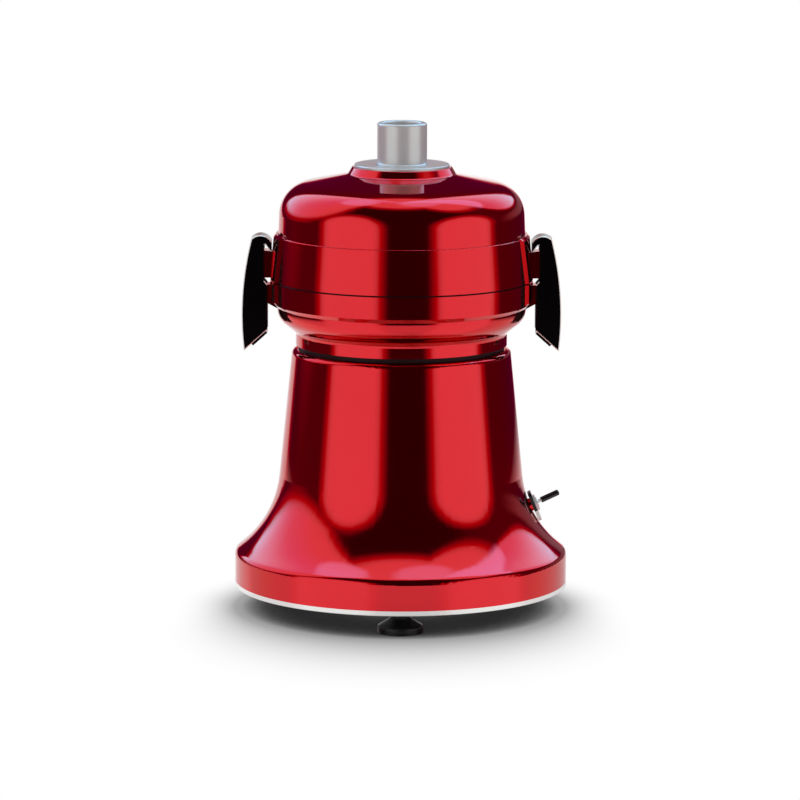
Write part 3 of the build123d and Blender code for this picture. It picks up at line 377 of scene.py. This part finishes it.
def studio():
    """What gloss mirrors: a dark room with boxes in front, sheets behind and lamps overhead."""
    material, tree, surface = stage_material("studio_soft_boxes")
    place = add(tree, "TexCoord", out="Object")
    way = add(tree, "VectorMath", [place], operation="NORMALIZE")
    axes = add(tree, "SeparateXYZ", [way]).node.outputs
    # Degrees to the right of the photograph's side, and degrees above the horizon
    forward = add(tree, "Math", [axes["Y"], -1.0], operation="MULTIPLY")
    turn = add(tree, "Math", [axes["X"], forward], operation="ARCTAN2")
    turn = add(tree, "Math", [turn], operation="DEGREES")
    rise = add(tree, "Math", [axes["Z"]], operation="ARCSINE")
    rise = add(tree, "Math", [rise], operation="DEGREES")
    aside = add(tree, "Math", [turn], operation="ABSOLUTE")
    slant = add(tree, "Math", [turn, 0.42, rise], operation="MULTIPLY_ADD")

    def rounded(centre, half_width, foot, height):
        """How far out in a lamp with a straight foot and a round end: one is its outline."""
        across = {"Value": turn, "From Min": centre, "From Max": centre + half_width}
        across = add(tree, "MapRange", across, clamp=False)
        along = {"Value": rise, "From Min": foot, "From Max": foot + 3 * height, "To Max": 3.0}
        spot = add(tree, "CombineXYZ", [across, add(tree, "MapRange", along)])
        return add(tree, "VectorMath", [spot], "Value", operation="LENGTH")

    def toward(x, y, z):
        """Nearness to a direction: one straight along it."""
        return add(tree, "VectorMath", [way, (x, y, z)], "Value", operation="DOT_PRODUCT")

    def brightest(lamps, dimmest):
        """Light of the brightest lamp: each has a level and its edges."""
        light = dimmest
        for level, edges in lamps:
            for value, dark, painted_white_tone in edges:
                edge = {"Value": value, "From Min": dark, "From Max": painted_white_tone}
                edge = add(tree, "MapRange", edge, interpolation_type="SMOOTHSTEP")
                level = add(tree, "Math", [level, edge], operation="MULTIPLY")
            light = add(tree, "Math", [light, level], operation="MAXIMUM")
        return light

    # A lamp's edges: what crosses each edge, where it is dark and where it is bright
    left_box = [(rounded(centre=-48.7, half_width=30.2, foot=0, height=34), 1.3, 0.7)]
    right_box = [(rounded(centre=61.6, half_width=31.3, foot=0, height=28.5), 1.3, 0.7)]
    left_sheet = [
        (rounded(centre=-122, half_width=54, foot=48, height=-45), 1.24, 0.8),
        (turn, -154, -147),
    ]
    right_sheet = [
        (rounded(centre=145, half_width=48, foot=50, height=-36), 1.1, 0.9),
        (turn, 160, 150),
    ]
    top_sheet = rounded(centre=84, half_width=56, foot=90, height=-53)
    ceiling = [(rise, 57.5, 74.5)]
    slanted_strip = [(slant, -60.5, -68.5)]
    back_strip = [(turn, 163, 174), (rise, 16, 6)]
    back_wall = [(aside, 140, 155)]
    side_walls = [(aside, 25, 95)]
    wall_haze = [(turn, 100, 135), (rise, -1, 3), (rise, 13, 8)]
    left_spot = [(toward(-0.365, 0.084, 0.927), 0.974, 0.9915)]
    crown_spot = [(toward(0.154, -0.027, 0.988), 0.972, 0.991)]
    sheets_overlap = [(top_sheet, 1.05, 0.95)] + right_sheet

    boxes = brightest(
        [
            (1.0, left_box),
            (1.0, right_box),
            (0.97, left_sheet),
            (0.97, right_sheet),
            (0.97, [(top_sheet, 1.1, 0.7)]),
            (0.97, ceiling),
            (1.0, slanted_strip),
            (1.0, back_strip),
            (0.12, back_wall),
            (0.1, side_walls),
        ],
        dimmest=0.033,
    )
    # White in the middle of a lamp and crimson where it fades, so dim enamel stays a deep red
    full = {"Value": boxes, "From Min": 0.52, "From Max": 0.85}
    full = add(tree, "MapRange", full, interpolation_type="SMOOTHSTEP")
    green = add(tree, "Math", [boxes, full], operation="MULTIPLY")
    crimson = add(tree, "MapRange", {"Value": boxes, "From Max": 0.16, "To Max": 0.05})
    blue = add(tree, "Math", [green, crimson], operation="MAXIMUM")
    room = add(tree, "Emission", {"Color": add(tree, "CombineColor", [boxes, green, blue])})
    # The sheets are cooler the further back they reach, and whiter at their far ends
    sheets = brightest([(1.0, left_sheet), (1.0, right_sheet)], dimmest=0.0)
    sheets = add(tree, "MapRange", {"Value": sheets, "From Min": 0.6})
    # Red enamel mirrors green and blue in its clear coat alone, so a white glint needs a lot of both
    plain_white = (1.0, 1.0, 1.0, 1.0)
    cool_blue = (0.0, 0.15, 1.6, 1.0)
    pale_green = (0.1, 1.6, 1.2, 1.0)
    bright_cyan = (0.15, 2.3, 3.7, 1.0)
    tints = [
        (plain_white, [(0.17, wall_haze)]),
        (cool_blue, [(sheets, [(aside, 80, 150)])]),
        (pale_green, [(sheets, [(aside, 112, 150)])]),
        (bright_cyan, [(0.8, left_spot), (0.6, crown_spot), (1.0, sheets_overlap)]),
    ]
    for tint, lamps in tints:
        light = add(tree, "Emission", {"Color": tint, "Strength": brightest(lamps, dimmest=0.0)})
        room = add(tree, "AddShader", [room, light])
    tree.links.new(room, surface)
    return material


sheet = bmesh.new()
bmesh.ops.create_grid(sheet, x_segments=1, y_segments=1, size=FLOOR_SIDE / 2)
stage_piece("floor", sheet, white_paper())

# A dome round the set that only gloss sees
ball = bmesh.new()
bmesh.ops.create_icosphere(ball, subdivisions=4, radius=DOME_RADIUS)
dome = stage_piece("studio", ball, studio())
dome.visible_camera = False
dome.visible_diffuse = False
dome.visible_transmission = False
dome.visible_shadow = False

world = bpy.data.worlds.new("white_tent")
scene.world = world
world.use_nodes = True
tent = world.node_tree.nodes["Background"].inputs
tent["Color"].default_value = (1, 1, 1, 1)
tent["Strength"].default_value = 1.0

camera = bpy.data.objects.new("camera", bpy.data.cameras.new("camera"))
scene.collection.objects.link(camera)
camera.data.sensor_width = 36
camera.data.lens = 211.8
camera.location = (-0.0009, -3.600, 0.755)
target = Vector((-0.0009, 0, 0.163))
roll = math.radians(0.2)
aim = (target - camera.location).to_track_quat("-Z", "Y")
camera.rotation_euler = (aim @ Quaternion((0, 0, 1), roll)).to_euler()
scene.camera = camera
scene.view_settings.view_transform = "Standard"
